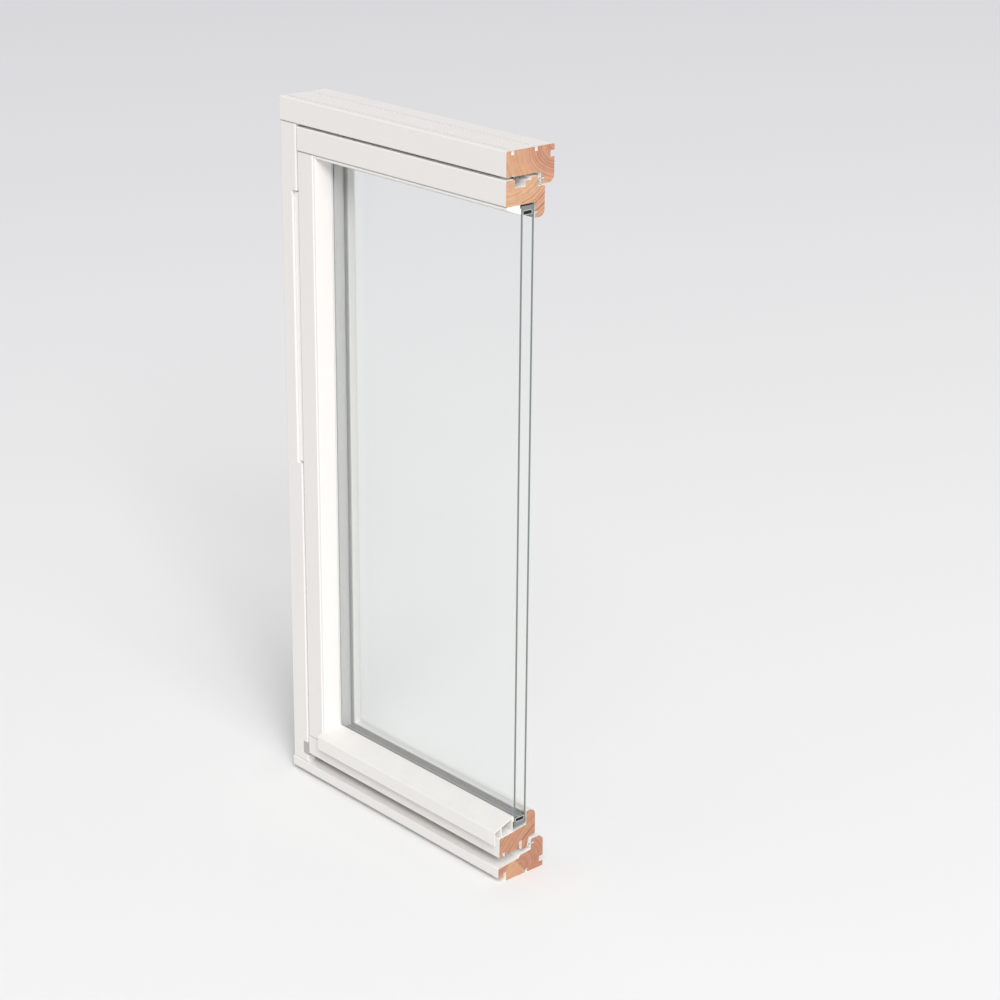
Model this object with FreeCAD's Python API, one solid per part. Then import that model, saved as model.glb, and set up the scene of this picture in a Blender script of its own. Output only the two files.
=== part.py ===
import FreeCAD, Part
import math
import os

# Cut-away sample of a centre pivot window in painted timber, sawn through at half its width.
# X runs along the width from the jamb to the sawn face, Y from outdoors to indoors, Z up.
# A section of the head or the jamb is drawn as (y, d), with d the distance from the outer face of the frame.
# A section of the sill or the bottom rail is drawn as (y, z). A third number rounds that corner.

# Overall sizes
FRAME_HEIGHT = 1288.0
CUT_WIDTH = 586.0
FRAME_DEPTH = 102.0
ARRIS = 2.0

# Frame section
FRAME_FACE = 42.0
STOP_HEIGHT = 19.5
STOP_DEPTH = 28.5
STOP_BEVEL = 7.5
RELIEF_KERF_WIDTH = 5.8
RELIEF_KERF_DEPTH = 7.0
FRONT_KERF_AT = 10.0
REAR_KERF_AT = 60.0
LINING_GROOVE_AT = 10.0
LINING_GROOVE_WIDTH = 10.5
LINING_GROOVE_DEPTH = 8.5
DRIP_GROOVE_AT = 10.5
DRIP_GROOVE_WIDTH = 5.0
DRIP_GROOVE_DEPTH = 2.5
SEAL_KERF_FROM_EDGE = 7.5
SEAL_KERF_WIDTH = 3.0
SEAL_KERF_DEPTH = 7.5
FIXING_HOLE_RADIUS = 4.0
FIXING_HOLE_Y = 51.0
FIXING_HOLE_FROM_END = 250.0

# Sill section
SILL_PROJECTION = 2.0
SILL_NOSE_BOTTOM = 8.7
SILL_NOSE_TOP = 28.0
SILL_NOSE_DEPTH = 10.0
SILL_FOOT_FRONT = 16.0
SILL_THROAT_TOP = 17.5
SILL_FALL = 5.5
SILL_STEP_Y = 45.5
SILL_STEP_RUN = 3.0
SILL_STEP_RISE = 4.5
SILL_UPPER_FALL = 3.0
SILL_TOP = 61.5

# Sash section
SASH_GAP = 5.0
SASH_FACE = 42.0
SASH_DEPTH = 82.5
STOP_GAP = 6.0
LIP_GAP = 2.5
LIP_HEIGHT = 25.5
LIP_DEPTH = 20.5
LIP_ROUND = 12.0
FITTING_GROOVE_AT = 18.5
FITTING_GROOVE_WIDTH = 22.8
FITTING_GROOVE_DEPTH = 14.0
COVER_REBATE_WIDTH = 12.0
COVER_REBATE_DEPTH = 4.5
GLAZING_KERF_FROM_EDGE = 7.5
GLAZING_KERF_WIDTH = 4.0
GLAZING_KERF_DEPTH = 3.5

# Bottom rail section
RAIL_CLEARANCE = 20.0
RAIL_FACE = 38.0
RAIL_REBATE_RISE = 7.5
RAIL_LIP_HEIGHT = 26.0
RAIL_NOSE = 7.0
RAIL_THROAT_WIDTH = 5.6
RAIL_THROAT_DEPTH = 8.5
RAIL_SECOND_NOSE = 3.5
RAIL_UNDERSIDE_LIFT = 4.5
RAIL_KERF_AT = 45.2
RAIL_KERF_WIDTH = 6.8
RAIL_KERF_DEPTH = 14.0
RAIL_TAPER = 4.4
RAIL_LIFT = 6.5
RAIL_STEP_RISE = 2.0

# Double glazing
PANE_THICKNESS = 4.0
CAVITY = 20.0
TAPE_THICKNESS = 2.0
TAPE_WIDTH = 10.0
TAPE_RECESS = 1.0
GLASS_CLEARANCE = 3.0
GLASS_LIFT = 6.0
EDGE_SEAL_WIDTH = 7.0
SPACER_HEIGHT = 8.0
SPACER_WALL = 0.9
SPACER_CHAMFER = 3.0
CORNER_KEY = 40.0
SETTING_BLOCK_LENGTH = 100.0
SETTING_BLOCK_FROM_EDGE = 80.0
LOCATION_BLOCK_LENGTH = 100.0
LOCATION_BLOCK_FROM_EDGE = 120.0

# Glazing beads
BEAD_SETBACK = 1.5
BEAD_NOSE = 5.0
BEAD_HEIGHT = 16.0
BEAD_SHADOW_GAP = 1.5
DRIP_BEAD_PROJECTION = 12.0
DRIP_BEAD_LEG = 26.0
DRIP_BEAD_BEND_LIFT = 17.0
DRIP_BEAD_TOP_LIFT = 33.5
DRIP_BEAD_WALL = 2.0
DRIP_BEAD_FOOT_Y = 2.5
DRIP_BEAD_END_GAP = 2.5
END_CAP_THICKNESS = 2.0
END_CAP_CLEARANCE = 0.5

# Weather seals
SEAL_FIT = 0.3
SEAL_FOOT_LENGTH = 6.5
SEAL_SHOULDER = 2.0
SEAL_WALL = 1.0
SEAL_ROUND = 3.0
SEAL_CONTACT = 0.2

# Fittings in the jamb
POCKET_WIDTH = 13.0
POCKET_DEPTH = 44.0
POCKET_BELOW_CENTRE = 18.0
POCKET_FROM_TOP = 160.0
POCKET_CORNER = 4.0
ARM_SETBACK = 5.0
ARM_WIDTH = 36.0
ARM_SIDE_PLAY = 1.0
ARM_END_PLAY = 3.0
ARM_PIN_RADIUS = 5.0
ARM_PIN_FROM_END = 22.0
ARM_PIN_ROOT = 15.0
PIN_FIT = 0.1
PIVOT_PLATE_THICKNESS = 3.0
PIVOT_PLATE_FRONT = 5.0
PIVOT_PLATE_WIDTH = 55.0
PIVOT_PLATE_LENGTH = 80.0
RUN_UP_BOTTOM = 43.0
RUN_UP_HEIGHT = 26.0
RUN_UP_DEPTH = 26.0
RUN_UP_SETBACK = 0.5
RUN_UP_PROJECTION = 3.5
RUN_UP_FIT = 0.15

# Planes worked out from the sizes above
STOP_FRONT = FRAME_DEPTH - STOP_DEPTH
FRAME_FULL = FRAME_FACE + STOP_HEIGHT
SASH_EDGE = FRAME_FACE + SASH_GAP
SASH_STEP_Y = STOP_FRONT - STOP_GAP
SASH_STEP_EDGE = FRAME_FULL + LIP_GAP
REBATE = SASH_EDGE + SASH_FACE
SASH_INNER = REBATE + LIP_HEIGHT
LIP_FRONT = SASH_DEPTH - LIP_DEPTH
RAIL_FOOT = SILL_NOSE_TOP + RAIL_CLEARANCE
RAIL_REBATE_FRONT = RAIL_FOOT + RAIL_FACE
RAIL_REBATE_BACK = RAIL_REBATE_FRONT + RAIL_REBATE_RISE
RAIL_LIP_TOP = RAIL_REBATE_BACK + RAIL_LIP_HEIGHT
INNER_PANE_BACK = LIP_FRONT - TAPE_THICKNESS
INNER_PANE_FRONT = INNER_PANE_BACK - PANE_THICKNESS
OUTER_PANE_BACK = INNER_PANE_FRONT - CAVITY
OUTER_PANE_FRONT = OUTER_PANE_BACK - PANE_THICKNESS
BEAD_BACK = OUTER_PANE_FRONT - TAPE_THICKNESS
GLASS_EDGE = REBATE + GLASS_CLEARANCE
GLASS_TOP = FRAME_HEIGHT - GLASS_EDGE
GLASS_BOTTOM = RAIL_REBATE_BACK + GLASS_LIFT
SPACER_START = EDGE_SEAL_WIDTH
SPACER_END = EDGE_SEAL_WIDTH + SPACER_HEIGHT
DRIP_BEND_Z = RAIL_REBATE_FRONT + DRIP_BEAD_BEND_LIFT
DRIP_TOP_Z = RAIL_REBATE_FRONT + DRIP_BEAD_TOP_LIFT
DRIP_BEAD_LEFT = REBATE + DRIP_BEAD_END_GAP
POCKET_BOTTOM = FRAME_HEIGHT / 2 - POCKET_BELOW_CENTRE
POCKET_TOP = FRAME_HEIGHT - POCKET_FROM_TOP
ARM_BOTTOM = POCKET_BOTTOM + ARM_END_PLAY
ARM_TOP = POCKET_TOP - ARM_END_PLAY
ARM_PIN_Y = ARM_SETBACK + ARM_WIDTH / 2
ORIGIN = FreeCAD.Vector(CUT_WIDTH / 2, (FRAME_DEPTH - DRIP_BEAD_PROJECTION) / 2, 0)


# Drawing sections and carrying them along the frame


def at_top(y, d):
    return FreeCAD.Vector(0, y, FRAME_HEIGHT - d)


def at_side(y, d):
    return FreeCAD.Vector(d, y, 0)


def at_bottom(y, z):
    return FreeCAD.Vector(0, y, z)


def at_front(x, z):
    return FreeCAD.Vector(x, 0, z)


def section(corners, place):
    points = [place(corner[0], corner[1]) for corner in corners]
    ends = []
    arcs = []
    for index, corner in enumerate(corners):
        here = points[index]
        radius = corner[2] if len(corner) > 2 else 0
        if radius == 0:
            ends.append((here, here))
            arcs.append(None)
            continue
        back = (points[index - 1] - here).normalize()
        ahead = (points[(index + 1) % len(points)] - here).normalize()
        half = back.getAngle(ahead) / 2
        reach = radius / math.tan(half)
        bow = radius / math.sin(half) - radius
        middle = here + (back + ahead).normalize() * bow
        start = here + back * reach
        finish = here + ahead * reach
        ends.append((start, finish))
        arcs.append(Part.Arc(start, middle, finish).toShape())
    edges = []
    for index, arc in enumerate(arcs):
        if arc:
            edges.append(arc)
        following = ends[(index + 1) % len(ends)]
        edges.append(Part.makeLine(ends[index][1], following[0]))
    return Part.Face(Part.Wire(edges))


def along_x(corners, place, start, end):
    face = section(corners, place)
    face.translate(FreeCAD.Vector(start, 0, 0))
    return face.extrude(FreeCAD.Vector(end - start, 0, 0))


def along_top(corners, start, end=CUT_WIDTH):
    return along_x(corners, at_top, start, end)


def along_bottom(corners, start, end=CUT_WIDTH):
    return along_x(corners, at_bottom, start, end)


def along_side(corners, bottom, top):
    face = section(corners, at_side)
    face.translate(FreeCAD.Vector(0, 0, bottom))
    return face.extrude(FreeCAD.Vector(0, 0, top - bottom))


def box(x0, x1, y0, y1, z0, z1):
    size = FreeCAD.Vector(x1 - x0, y1 - y0, z1 - z0)
    return Part.makeBox(size.x, size.y, size.z, FreeCAD.Vector(x0, y0, z0))


def rod(radius, x0, x1, y, z):
    return Part.makeCylinder(radius, x1 - x0, FreeCAD.Vector(x0, y, z), FreeCAD.Vector(1, 0, 0))


def notch(start, end, floor, level):
    return [(start, level), (start, floor), (end, floor), (end, level)]


def mitred(top, side, bottom=None):
    # The upper corner is cut along the diagonal from the frame's corner, the lower one from the glass's corner
    reach = 2 * SASH_INNER
    deep = FreeCAD.Vector(0, 4 * FRAME_DEPTH, 0)
    shift = FreeCAD.Vector(0, -2 * FRAME_DEPTH, 0)
    high = FRAME_HEIGHT
    above = section([(0, high), (reach, high), (reach, high - reach)], at_front)
    beside = section([(0, high), (reach, high - reach), (0, high - reach)], at_front)
    for face in (above, beside):
        face.translate(shift)
    pieces = [top.cut(beside.extrude(deep)), side.cut(above.extrude(deep))]
    if bottom:
        low = GLASS_BOTTOM - GLASS_EDGE
        under = section([(0, low), (reach, low + reach), (reach, low)], at_front)
        left = section([(0, low), (0, low + reach), (reach, low + reach)], at_front)
        for face in (under, left):
            face.translate(shift)
        pieces[1] = pieces[1].cut(under.extrude(deep))
        pieces.append(bottom.cut(left.extrude(deep)))
    return pieces


# Frame


def frame_corners():
    kerf_end = FRAME_FULL - SEAL_KERF_FROM_EDGE
    kerf_start = kerf_end - SEAL_KERF_WIDTH
    groove_end = LINING_GROOVE_AT + LINING_GROOVE_WIDTH
    groove_floor = FRAME_DEPTH - LINING_GROOVE_DEPTH
    drip_end = DRIP_GROOVE_AT + DRIP_GROOVE_WIDTH
    corners = [(0, 0, ARRIS)]
    for start in (FRONT_KERF_AT, REAR_KERF_AT):
        corners += notch(start, start + RELIEF_KERF_WIDTH, RELIEF_KERF_DEPTH, 0)
    corners.append((FRAME_DEPTH, 0, ARRIS))
    corners += [(y, d) for d, y in notch(LINING_GROOVE_AT, groove_end, groove_floor, FRAME_DEPTH)]
    corners.append((FRAME_DEPTH, FRAME_FULL - STOP_BEVEL, ARRIS))
    corners.append((FRAME_DEPTH - STOP_BEVEL, FRAME_FULL, ARRIS))
    corners.append((STOP_FRONT, FRAME_FULL, ARRIS))
    corners += [(y, d) for d, y in notch(kerf_end, kerf_start, STOP_FRONT + SEAL_KERF_DEPTH, STOP_FRONT)]
    corners.append((STOP_FRONT, FRAME_FACE))
    corners += notch(drip_end, DRIP_GROOVE_AT, FRAME_FACE - DRIP_GROOVE_DEPTH, FRAME_FACE)
    corners.append((0, FRAME_FACE, ARRIS))
    return corners


def sill_top_corners():
    step_z = SILL_NOSE_TOP + SILL_FALL
    landing_z = step_z + SILL_STEP_RISE
    return [
        (-SILL_PROJECTION, SILL_NOSE_TOP, ARRIS),
        (SILL_STEP_Y, step_z),
        (SILL_STEP_Y + SILL_STEP_RUN, landing_z),
        (STOP_FRONT, landing_z + SILL_UPPER_FALL),
    ]


def sill_corners():
    kerf_end = SILL_TOP - SEAL_KERF_FROM_EDGE
    kerf_start = kerf_end - SEAL_KERF_WIDTH
    groove_end = LINING_GROOVE_AT + LINING_GROOVE_WIDTH
    groove_floor = FRAME_DEPTH - LINING_GROOVE_DEPTH
    kerf_back = REAR_KERF_AT + RELIEF_KERF_WIDTH
    corners = [(-SILL_PROJECTION, SILL_NOSE_BOTTOM, ARRIS)]
    corners += sill_top_corners()
    corners += [(y, z) for z, y in notch(kerf_start, kerf_end, STOP_FRONT + SEAL_KERF_DEPTH, STOP_FRONT)]
    corners.append((STOP_FRONT, SILL_TOP, ARRIS))
    corners.append((FRAME_DEPTH - STOP_BEVEL, SILL_TOP, ARRIS))
    corners.append((FRAME_DEPTH, SILL_TOP - STOP_BEVEL, ARRIS))
    corners += [(y, z) for z, y in notch(groove_end, LINING_GROOVE_AT, groove_floor, FRAME_DEPTH)]
    corners.append((FRAME_DEPTH, 0, ARRIS))
    corners += notch(kerf_back, REAR_KERF_AT, RELIEF_KERF_DEPTH, 0)
    corners.append((SILL_FOOT_FRONT, 0))
    corners.append((SILL_FOOT_FRONT, SILL_THROAT_TOP))
    corners.append((SILL_NOSE_DEPTH, SILL_THROAT_TOP))
    corners.append((SILL_NOSE_DEPTH, SILL_NOSE_BOTTOM))
    return corners


def head_scribe():
    corners = [
        (0, 0),
        (FRAME_DEPTH, 0),
        (FRAME_DEPTH, FRAME_FULL - STOP_BEVEL),
        (FRAME_DEPTH - STOP_BEVEL, FRAME_FULL),
        (STOP_FRONT, FRAME_FULL),
        (STOP_FRONT, FRAME_FACE),
        (0, FRAME_FACE),
    ]
    return along_top(corners, 0)


def sill_scribe():
    corners = [(-SILL_PROJECTION, 0)] + [(y, z) for y, z, *_ in sill_top_corners()]
    corners.append((STOP_FRONT, SILL_TOP))
    corners.append((FRAME_DEPTH - STOP_BEVEL, SILL_TOP))
    corners.append((FRAME_DEPTH, SILL_TOP - STOP_BEVEL))
    corners.append((FRAME_DEPTH, 0))
    return along_bottom(corners, 0)


def run_up_outline(fit):
    left = FRAME_FACE - POCKET_WIDTH + fit
    low = RUN_UP_BOTTOM + fit
    high = RUN_UP_BOTTOM + RUN_UP_HEIGHT - fit
    right = FRAME_FACE + RUN_UP_PROJECTION
    return [(left, low, POCKET_CORNER), (left, high, POCKET_CORNER), (right, high), (right, low)]


def run_up_block():
    face = section(run_up_outline(RUN_UP_FIT), at_front)
    face.translate(FreeCAD.Vector(0, RUN_UP_SETBACK, 0))
    return face.extrude(FreeCAD.Vector(0, RUN_UP_DEPTH - RUN_UP_SETBACK, 0))


def arm_pocket():
    left = FRAME_FACE - POCKET_WIDTH
    outline = [
        (left, POCKET_BOTTOM, POCKET_CORNER),
        (left, POCKET_TOP),
        (FRAME_FACE, POCKET_TOP),
        (FRAME_FACE, POCKET_BOTTOM),
    ]
    return section(outline, at_front).extrude(FreeCAD.Vector(0, POCKET_DEPTH, 0))


def frame_jamb():
    jamb = along_side(frame_corners(), 0, FRAME_HEIGHT)
    jamb = jamb.cut(head_scribe()).cut(sill_scribe())
    jamb = jamb.cut(arm_pocket())
    run_up_recess = section(run_up_outline(0), at_front).extrude(FreeCAD.Vector(0, RUN_UP_DEPTH, 0))
    jamb = jamb.cut(run_up_recess)
    pocket_floor = FRAME_FACE - POCKET_WIDTH
    pin_z = ARM_BOTTOM + ARM_PIN_FROM_END
    bore = rod(ARM_PIN_RADIUS + PIN_FIT, pocket_floor - ARM_PIN_ROOT, pocket_floor, ARM_PIN_Y, pin_z)
    jamb = jamb.cut(bore)
    for z in (FIXING_HOLE_FROM_END, FRAME_HEIGHT - FIXING_HOLE_FROM_END):
        jamb = jamb.cut(rod(FIXING_HOLE_RADIUS, 0, FRAME_FACE, FIXING_HOLE_Y, z))
    return jamb


# Weather seals between the stop and the sash


def seal_corners(kerf_start, kerf_end, front):
    foot_back = STOP_FRONT + SEAL_FOOT_LENGTH
    low = kerf_start - SEAL_SHOULDER
    high = kerf_end + SEAL_SHOULDER
    return [
        (foot_back, kerf_start + SEAL_FIT),
        (STOP_FRONT, kerf_start + SEAL_FIT),
        (STOP_FRONT, low),
        (front, low, SEAL_ROUND),
        (front, high, SEAL_ROUND),
        (STOP_FRONT, high),
        (STOP_FRONT, kerf_end - SEAL_FIT),
        (foot_back, kerf_end - SEAL_FIT),
    ]


def seal_hollow(kerf_start, kerf_end, front):
    low = kerf_start - SEAL_SHOULDER + SEAL_WALL
    high = kerf_end + SEAL_SHOULDER - SEAL_WALL
    nose = front + SEAL_WALL
    inner_round = SEAL_ROUND - SEAL_WALL
    back = STOP_FRONT - SEAL_WALL
    return [(back, low), (nose, low, inner_round), (nose, high, inner_round), (back, high)]


def weather_seals():
    kerf_end = FRAME_FULL - SEAL_KERF_FROM_EDGE
    kerf_start = kerf_end - SEAL_KERF_WIDTH
    front = SASH_STEP_Y + SEAL_CONTACT
    corners = seal_corners(kerf_start, kerf_end, front)
    hollow = seal_hollow(kerf_start, kerf_end, front)
    clear_of_head = FRAME_HEIGHT - kerf_end - SEAL_SHOULDER
    sill_kerf_end = SILL_TOP - SEAL_KERF_FROM_EDGE
    sill_kerf_start = sill_kerf_end - SEAL_KERF_WIDTH
    sill_front = rail_rear_y(sill_kerf_end + SEAL_SHOULDER) + SEAL_CONTACT
    sill_outline = seal_corners(sill_kerf_start, sill_kerf_end, sill_front)
    sill_hollow = seal_hollow(sill_kerf_start, sill_kerf_end, sill_front)
    clear_of_sill = SILL_TOP
    head = along_top(corners, FRAME_FACE).cut(along_top(hollow, FRAME_FACE))
    jamb = along_side(corners, clear_of_sill, clear_of_head)
    jamb = jamb.cut(along_side(hollow, clear_of_sill, clear_of_head))
    sill = along_bottom(sill_outline, FRAME_FULL).cut(along_bottom(sill_hollow, FRAME_FULL))
    return head, jamb, sill


# Sash


def sash_corners():
    groove_end = FITTING_GROOVE_AT + FITTING_GROOVE_WIDTH
    cover_end = groove_end + COVER_REBATE_WIDTH
    kerf_end = SASH_INNER - GLAZING_KERF_FROM_EDGE
    kerf_start = kerf_end - GLAZING_KERF_WIDTH
    kerf_floor = LIP_FRONT + GLAZING_KERF_DEPTH
    corners = [(0, SASH_EDGE, ARRIS)]
    corners.append((FITTING_GROOVE_AT, SASH_EDGE, ARRIS / 2))
    corners.append((FITTING_GROOVE_AT, SASH_EDGE + FITTING_GROOVE_DEPTH))
    corners.append((groove_end, SASH_EDGE + FITTING_GROOVE_DEPTH))
    corners.append((groove_end, SASH_EDGE + COVER_REBATE_DEPTH))
    corners.append((cover_end, SASH_EDGE + COVER_REBATE_DEPTH))
    corners.append((cover_end, SASH_EDGE))
    corners.append((SASH_STEP_Y, SASH_EDGE, ARRIS))
    corners.append((SASH_STEP_Y, SASH_STEP_EDGE))
    corners.append((SASH_DEPTH, SASH_STEP_EDGE, ARRIS))
    corners.append((SASH_DEPTH, SASH_INNER, LIP_ROUND))
    corners.append((LIP_FRONT, SASH_INNER, ARRIS / 2))
    corners += [(y, d) for d, y in notch(kerf_end, kerf_start, kerf_floor, LIP_FRONT)]
    corners.append((LIP_FRONT, REBATE))
    corners.append((0, REBATE, ARRIS))
    return corners


def rail_rear_y(z):
    low = RAIL_FOOT
    high = SILL_TOP + RAIL_LIFT
    share = (z - low) / (high - low)
    return SASH_STEP_Y - RAIL_TAPER * (1 - share)


def rail_floor_z(y):
    return RAIL_REBATE_FRONT + RAIL_REBATE_RISE * y / LIP_FRONT


def rail_corners():
    throat_back = RAIL_NOSE + RAIL_THROAT_WIDTH
    throat_top = RAIL_FOOT + RAIL_THROAT_DEPTH
    underside = RAIL_FOOT + RAIL_UNDERSIDE_LIFT
    kerf_back = RAIL_KERF_AT + RAIL_KERF_WIDTH
    kerf_top = underside + RAIL_KERF_DEPTH
    step_z = SILL_TOP + RAIL_LIFT
    return [
        (0, RAIL_FOOT, ARRIS),
        (0, RAIL_REBATE_FRONT, ARRIS),
        (LIP_FRONT, RAIL_REBATE_BACK),
        (LIP_FRONT, RAIL_LIP_TOP, ARRIS / 2),
        (SASH_DEPTH, RAIL_LIP_TOP, LIP_ROUND),
        (SASH_DEPTH, step_z + RAIL_STEP_RISE, ARRIS),
        (SASH_STEP_Y, step_z),
        (rail_rear_y(RAIL_FOOT), RAIL_FOOT, ARRIS / 2),
        (kerf_back, RAIL_FOOT),
        (kerf_back, kerf_top),
        (RAIL_KERF_AT, kerf_top),
        (RAIL_KERF_AT, underside),
        (throat_back + RAIL_SECOND_NOSE + ARRIS / 2, underside),
        (throat_back + RAIL_SECOND_NOSE, RAIL_FOOT),
        (throat_back, RAIL_FOOT),
        (throat_back, throat_top),
        (RAIL_NOSE, throat_top),
        (RAIL_NOSE, RAIL_FOOT),
    ]


def top_rail_scribe():
    corners = [
        (0, 0),
        (SASH_DEPTH, 0),
        (SASH_DEPTH, SASH_INNER, LIP_ROUND),
        (LIP_FRONT, SASH_INNER),
        (LIP_FRONT, REBATE),
        (0, REBATE),
    ]
    return along_top(corners, 0)


def bottom_rail_scribe():
    corners = [
        (0, 0),
        (0, RAIL_REBATE_FRONT),
        (LIP_FRONT, RAIL_REBATE_BACK),
        (LIP_FRONT, RAIL_LIP_TOP),
        (SASH_DEPTH, RAIL_LIP_TOP, LIP_ROUND),
        (SASH_DEPTH, 0),
    ]
    return along_bottom(corners, 0)


def sash_members():
    past_sash = SASH_DEPTH + LIP_DEPTH
    end_step = box(0, SASH_STEP_EDGE, SASH_STEP_Y, past_sash, 0, FRAME_HEIGHT)
    top = along_top(sash_corners(), SASH_EDGE).cut(end_step)
    bottom = along_bottom(rail_corners(), SASH_EDGE).cut(end_step)
    stile = along_side(sash_corners(), 0, FRAME_HEIGHT)
    stile = stile.cut(top_rail_scribe()).cut(bottom_rail_scribe())
    return top, stile, bottom


# Double glazing


def pane(front):
    return box(GLASS_EDGE, CUT_WIDTH, front, front + PANE_THICKNESS, GLASS_BOTTOM, GLASS_TOP)


def round_glass(corners):
    # One section, drawn from the edge of the glass inwards, carried along the top, the side and the bottom
    outward = [(corner[0], corner[1] + GLASS_EDGE, *corner[2:]) for corner in corners]
    upward = [(corner[0], corner[1] + GLASS_BOTTOM, *corner[2:]) for corner in corners]
    top = along_top(outward, GLASS_EDGE)
    side = along_side(outward, GLASS_BOTTOM, GLASS_TOP)
    bottom = along_bottom(upward, GLASS_EDGE)
    return mitred(top, side, bottom)


def spacer_corners(inset):
    # The inset runs square to each wall, so the slanted walls keep the same thickness
    slant = inset * math.tan(math.pi / 8)
    front = OUTER_PANE_BACK + inset
    back = INNER_PANE_FRONT - inset
    shoulder = SPACER_START + SPACER_CHAMFER + slant
    chamfer = SPACER_CHAMFER - inset + slant
    outer = SPACER_START + inset
    inner = SPACER_END - inset
    return [
        (front + chamfer, outer),
        (back - chamfer, outer),
        (back, shoulder),
        (back, inner),
        (front, inner),
        (front, shoulder),
    ]


def spacer_bars():
    outside = round_glass(spacer_corners(0))
    inside = round_glass(spacer_corners(SPACER_WALL))
    return [bar.cut(hollow) for bar, hollow in zip(outside, inside)]


def desiccant():
    fill = spacer_corners(SPACER_WALL)
    outward = [(y, d + GLASS_EDGE) for y, d in fill]
    upward = [(y, d + GLASS_BOTTOM) for y, d in fill]
    inset = GLASS_EDGE + CORNER_KEY
    top = along_top(outward, inset)
    side = along_side(outward, GLASS_BOTTOM + CORNER_KEY, GLASS_TOP - CORNER_KEY)
    bottom = along_bottom(upward, inset)
    return Part.makeCompound([top, side, bottom])


def edge_seals():
    shoulder = SPACER_START + SPACER_CHAMFER
    corners = [
        (OUTER_PANE_BACK, 0),
        (INNER_PANE_FRONT, 0),
        (INNER_PANE_FRONT, shoulder),
        (INNER_PANE_FRONT - SPACER_CHAMFER, SPACER_START),
        (OUTER_PANE_BACK + SPACER_CHAMFER, SPACER_START),
        (OUTER_PANE_BACK, shoulder),
    ]
    return round_glass(corners)


def strip(y0, y1, level, width):
    return [(y0, level - width), (y1, level - width), (y1, level), (y0, level)]


def outer_tapes():
    bead_edge = REBATE + BEAD_HEIGHT
    around = strip(BEAD_BACK, OUTER_PANE_FRONT, bead_edge, TAPE_WIDTH)
    below = strip(BEAD_BACK, OUTER_PANE_FRONT, DRIP_TOP_Z, TAPE_WIDTH)
    top = along_top(around, REBATE)
    side = along_side(around, DRIP_TOP_Z, FRAME_HEIGHT - REBATE)
    bottom = along_bottom(below, DRIP_BEAD_LEFT)
    return mitred(top, side) + [bottom]


def inner_tapes():
    level = SASH_INNER - TAPE_RECESS
    low_level = RAIL_LIP_TOP - TAPE_RECESS
    around = strip(INNER_PANE_BACK, LIP_FRONT, level, TAPE_WIDTH)
    below = strip(INNER_PANE_BACK, LIP_FRONT, low_level, TAPE_WIDTH)
    top = along_top(around, REBATE)
    side = along_side(around, low_level, FRAME_HEIGHT - REBATE)
    bottom = along_bottom(below, level - TAPE_WIDTH)
    return mitred(top, side) + [bottom]


def setting_block():
    corners = [
        (OUTER_PANE_FRONT, rail_floor_z(OUTER_PANE_FRONT)),
        (INNER_PANE_BACK, rail_floor_z(INNER_PANE_BACK)),
        (INNER_PANE_BACK, GLASS_BOTTOM),
        (OUTER_PANE_FRONT, GLASS_BOTTOM),
    ]
    start = GLASS_EDGE + SETTING_BLOCK_FROM_EDGE
    return along_bottom(corners, start, start + SETTING_BLOCK_LENGTH)


def location_blocks():
    low = GLASS_BOTTOM + LOCATION_BLOCK_FROM_EDGE
    high = GLASS_TOP - LOCATION_BLOCK_FROM_EDGE - LOCATION_BLOCK_LENGTH
    blocks = []
    for z in (low, high):
        top = z + LOCATION_BLOCK_LENGTH
        blocks.append(box(REBATE, GLASS_EDGE, OUTER_PANE_FRONT, INNER_PANE_BACK, z, top))
    return Part.makeCompound(blocks)


# Glazing beads


def bead_corners():
    return [
        (BEAD_SETBACK + BEAD_SHADOW_GAP, REBATE),
        (BEAD_BACK, REBATE),
        (BEAD_BACK, REBATE + BEAD_HEIGHT, ARRIS / 2),
        (BEAD_SETBACK, REBATE + BEAD_NOSE, ARRIS),
        (BEAD_SETBACK, REBATE + BEAD_SHADOW_GAP),
    ]


def drip_slope_z(y):
    run = BEAD_BACK + DRIP_BEAD_PROJECTION
    return DRIP_BEND_Z + (DRIP_TOP_Z - DRIP_BEND_Z) * (y + DRIP_BEAD_PROJECTION) / run


def glazing_beads():
    low = RAIL_REBATE_FRONT
    top = along_top(bead_corners(), REBATE)
    side = along_side(bead_corners(), low, FRAME_HEIGHT - REBATE)
    top, side = mitred(top, side)
    nose = -DRIP_BEAD_PROJECTION
    below = [(nose, 0), (nose, DRIP_BEND_Z), (BEAD_BACK, DRIP_TOP_Z), (BEAD_BACK, 0)]
    return top, side.cut(along_bottom(below, 0))


def drip_bead_outline():
    nose = -DRIP_BEAD_PROJECTION
    leg_end = DRIP_BEND_Z - DRIP_BEAD_LEG
    return [
        (nose, leg_end),
        (nose, DRIP_BEND_Z, ARRIS),
        (BEAD_BACK, DRIP_TOP_Z),
        (BEAD_BACK, rail_floor_z(BEAD_BACK)),
        (DRIP_BEAD_FOOT_Y, rail_floor_z(DRIP_BEAD_FOOT_Y)),
    ]


def drip_bead():
    wall = DRIP_BEAD_WALL
    nose = -DRIP_BEAD_PROJECTION
    leg_back = nose + wall
    leg_end = DRIP_BEND_Z - DRIP_BEAD_LEG
    foot = DRIP_BEAD_FOOT_Y
    corners = drip_bead_outline()
    corners.append((foot, drip_slope_z(foot) - wall))
    corners.append((leg_back, drip_slope_z(leg_back) - wall, ARRIS / 2))
    corners.append((leg_back, leg_end))
    front = foot + wall
    back = BEAD_BACK - wall
    chamber = [
        (front, rail_floor_z(front) + wall),
        (front, drip_slope_z(front) - wall),
        (back, drip_slope_z(back) - wall),
        (back, rail_floor_z(back) + wall),
    ]
    return along_bottom(corners, DRIP_BEAD_LEFT).cut(along_bottom(chamber, DRIP_BEAD_LEFT))


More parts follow.
